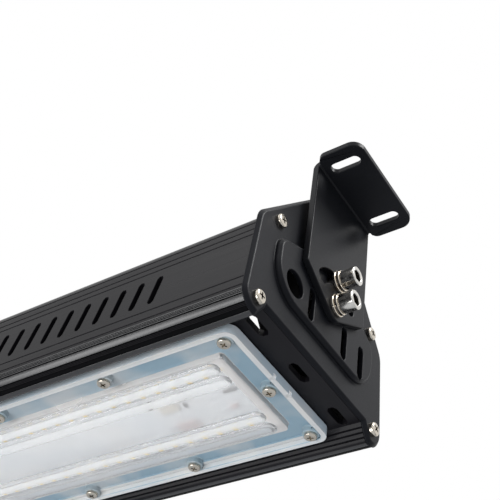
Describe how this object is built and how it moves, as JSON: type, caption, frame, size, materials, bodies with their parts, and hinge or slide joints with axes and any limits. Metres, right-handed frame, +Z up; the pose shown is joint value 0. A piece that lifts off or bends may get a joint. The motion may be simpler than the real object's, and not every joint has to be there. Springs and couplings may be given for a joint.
{
  "type": "high bay light",
  "caption": "Linear LED high bay light: vented box housing, screwed clear lens underneath, and a slotted L bracket that tilts at each end plate",
  "frame": {"origin": "midway along the housing and across it, on the plane the two ears of the housing stand on", "axes": "+X along the housing, +Y across it, +Z up from the lens towards the bracket flanges"},
  "size_m": [0.3412, 0.1052, 0.107],
  "materials": {
    "housing_coat": "satin black anodised extrusion",
    "plate_coat": "satin black coated sheet",
    "bracket_coat": "satin black coated sheet",
    "bolt_steel": "bright zinc plated",
    "washer_steel": "bright zinc plated",
    "screw_steel": "bright nickel plated",
    "lens_clear": "clear moulding",
    "gasket_rubber": "matt",
    "board_white": "white solder mask",
    "chip_yellow": "smooth",
    "driver_metal": "plain sheet",
    "block_plastic": "plain",
    "lead_plastic": "smooth insulation"
  },
  "bodies": {
    "light": {"housing": "housing_coat", "end_plate_right": "plate_coat", "end_plate_left": "plate_coat", "pivot_bolt_right": "bolt_steel", "slot_bolt_right": "bolt_steel", "pivot_bolt_left": "bolt_steel", "slot_bolt_left": "bolt_steel", "flat_washers": "washer_steel", "spring_washers": "washer_steel", "bolt_nuts": "washer_steel", "end_plate_screws": "screw_steel", "lens_screws": "screw_steel", "driver_screws": "screw_steel", "terminal_screws": "screw_steel", "lens_cover": "lens_clear", "lens_gasket": "gasket_rubber", "led_board": "board_white", "led_chips": "chip_yellow", "driver_case": "driver_metal", "driver_lid": "driver_metal", "terminal_block": "block_plastic", "mains_leads": "lead_plastic", "led_leads": "lead_plastic", "lead_grommet": "gasket_rubber"},
    "right_bracket": {"bracket_right": "bracket_coat"},
    "left_bracket": {"bracket_left": "bracket_coat"}
  },
  "joints": [
    {"name": "right_bracket_tilt", "type": "hinge", "parent": "light", "child": "right_bracket", "pos_m": [0.1471, 0, 0.0376], "axis": [1, 0, 0], "range_deg": [-55, 55]},
    {"name": "left_bracket_tilt", "type": "hinge", "parent": "light", "child": "left_bracket", "pos_m": [-0.1471, 0, 0.0376], "axis": [1, 0, 0], "range_deg": [-55, 55]}
  ]
}
